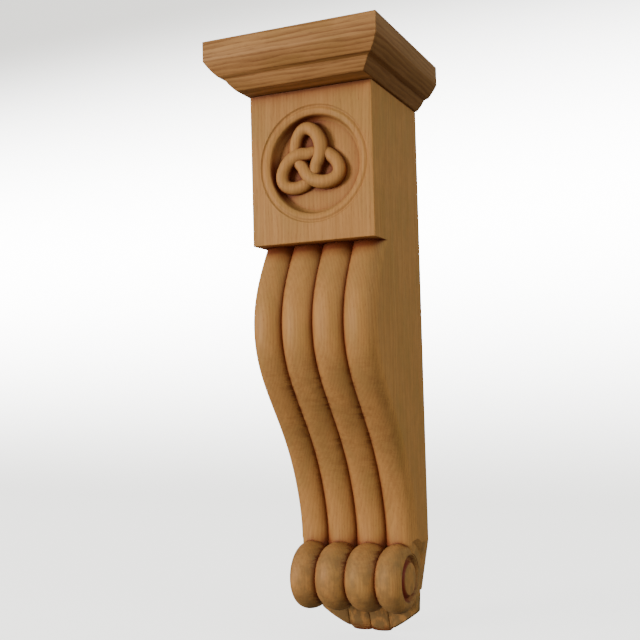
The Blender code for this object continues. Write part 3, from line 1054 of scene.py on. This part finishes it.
def stagePaintAndGlow():
    paint = bpy.data.materials.new("studio_paint_and_glow")
    paint.use_nodes = True
    wire = Wiring(paint.node_tree)
    shader = paint.node_tree.nodes["Principled BSDF"]
    shader.inputs["Base Color"].default_value = stage["colour"]
    shader.inputs["Roughness"].default_value = stage["roughness"]
    # painted light: the backdrop glows, brightest at mid-height, though it is no lamp
    shader.inputs["Emission Strength"].default_value = 1.0
    place = wire.add("ShaderNodeTexCoord").outputs["Object"]
    height = wire.add("ShaderNodeSeparateXYZ", {0: place}).outputs[2]
    away = wire.math("ABSOLUTE", wire.minus(height, stage["midHeight"]))
    glow = wire.spread(away, 0.0, stage["reach"], stage["midGlow"], stage["lowGlow"])
    mixed = wire.add("ShaderNodeCombineColor", {0: glow, 1: glow, 2: glow})
    wire.feed(shader.inputs["Emission Color"], mixed.outputs[0])
    return paint


def makeStage():
    floorZ = footZ - stage["gap"]
    line = [(stage["front"], floorZ)]
    for k in range(stage["bendSteps"] + 1):
        turn = math.pi / 2.0 * k / stage["bendSteps"]
        line.append((
            stage["back"] - stage["bend"] + stage["bend"] * math.sin(turn),
            floorZ + stage["bend"] * (1.0 - math.cos(turn)),
        ))
    line.append((stage["back"], floorZ + stage["height"]))
    bm = bmesh.new()
    left = [bm.verts.new((-stage["width"] / 2.0, y, z)) for y, z in line]
    right = [bm.verts.new((stage["width"] / 2.0, y, z)) for y, z in line]
    for i in range(len(line) - 1):
        bm.faces.new((left[i], left[i + 1], right[i + 1], right[i]))
    made = linkMesh("studio_floor", bm)
    made.data.shade_smooth()
    made.data.materials.append(stagePaintAndGlow())
    made.visible_diffuse = False    # its glow stays off the wood
    made.visible_glossy = False


makeStage()


# Soft light from the left in front, a weak fill from the right, a warm bounce from below,
# and a sky that is dim below

lights = {
    "key": {"place": (-1.24, -1.38, 0.15), "size": 0.60, "power": 37.0, "colour": (1.0, 0.96, 0.87)},
    "fill": {"place": (1.5, -0.7, 0.7), "size": 1.0, "power": 10.5, "colour": (0.82, 1.0, 0.95)},
    "bounce": {"place": (0.35, -1.35, -0.95), "size": 1.2, "power": 18.0, "colour": (1.0, 0.83, 0.70)},
}
lightAim = (0.0, -0.04, 0.0)
sky = {
    "high": (0.62, 0.59, 0.46, 1.0),
    "low": (0.22, 0.19, 0.13, 1.0),
    "rise": (-0.35, 0.6),   # how far down and up the one changes to the other
}


def makeLight(name, look):
    lamp = bpy.data.lights.new(name, "AREA")
    lamp.energy = look["power"]
    lamp.color = look["colour"]
    lamp.shape = "DISK"
    lamp.size = look["size"]
    made = bpy.data.objects.new(name, lamp)
    made.location = look["place"]
    made.rotation_euler = (Vector(lightAim) - made.location).to_track_quat("-Z", "Y").to_euler()
    scene.collection.objects.link(made)


def makeSky():
    world = bpy.data.worlds.new("studio_sky")
    world.use_nodes = True
    wire = Wiring(world.node_tree)
    place = wire.add("ShaderNodeTexCoord").outputs["Generated"]
    height = wire.add("ShaderNodeSeparateXYZ", {0: place}).outputs[2]
    colour = wire.blend(wire.spread(height, *sky["rise"]), sky["low"], sky["high"])
    wire.feed(world.node_tree.nodes["Background"].inputs["Color"], colour)
    scene.world = world


for name, look in lights.items():
    makeLight(f"{name}_light", look)
makeSky()
print("floor and lights made")


# The camera, where the photograph was taken from; its picture is 640 by 640

view = {
    "yaw": 0.377,           # radians
    "pitch": -0.047,
    "roll": -0.029,
    "place": (0.22196, -0.52932, -0.18956),   # the last is measured down from the cap's top
    "focal": 937.426,       # in pixels
    "frame": 640.0,
    "centreX": 384.047,     # pixels from the left to the point the lens looks at
    "centreY": 340.617,     # pixels from the top
    "sensor": 36.0,         # in millimetres
    "clipStart": 0.01,
}


def cameraTurn():
    turn = (
        Matrix.Rotation(view["roll"], 3, "Z")
        @ Matrix.Rotation(view["pitch"], 3, "X")
        @ Matrix.Rotation(view["yaw"], 3, "Y")
    )
    rows = [Vector((row[0], row[2], -row[1])) for row in turn]
    return Matrix((rows[0], -rows[1], -rows[2])).transposed()


def makeCamera():
    lens = bpy.data.cameras.new("photo_camera")
    lens.sensor_width = view["sensor"]
    lens.lens = view["focal"] / view["frame"] * view["sensor"]
    lens.shift_x = (view["frame"] / 2.0 - view["centreX"]) / view["frame"]
    lens.shift_y = (view["centreY"] - view["frame"] / 2.0) / view["frame"]
    lens.clip_start = view["clipStart"]
    made = bpy.data.objects.new("photo_camera", lens)
    scene.collection.objects.link(made)
    x, y, z = view["place"]
    made.location = (x, y, z + topZ)
    made.rotation_mode = "XYZ"
    made.rotation_euler = cameraTurn().to_euler("XYZ")
    scene.camera = made


makeCamera()
print("camera set")
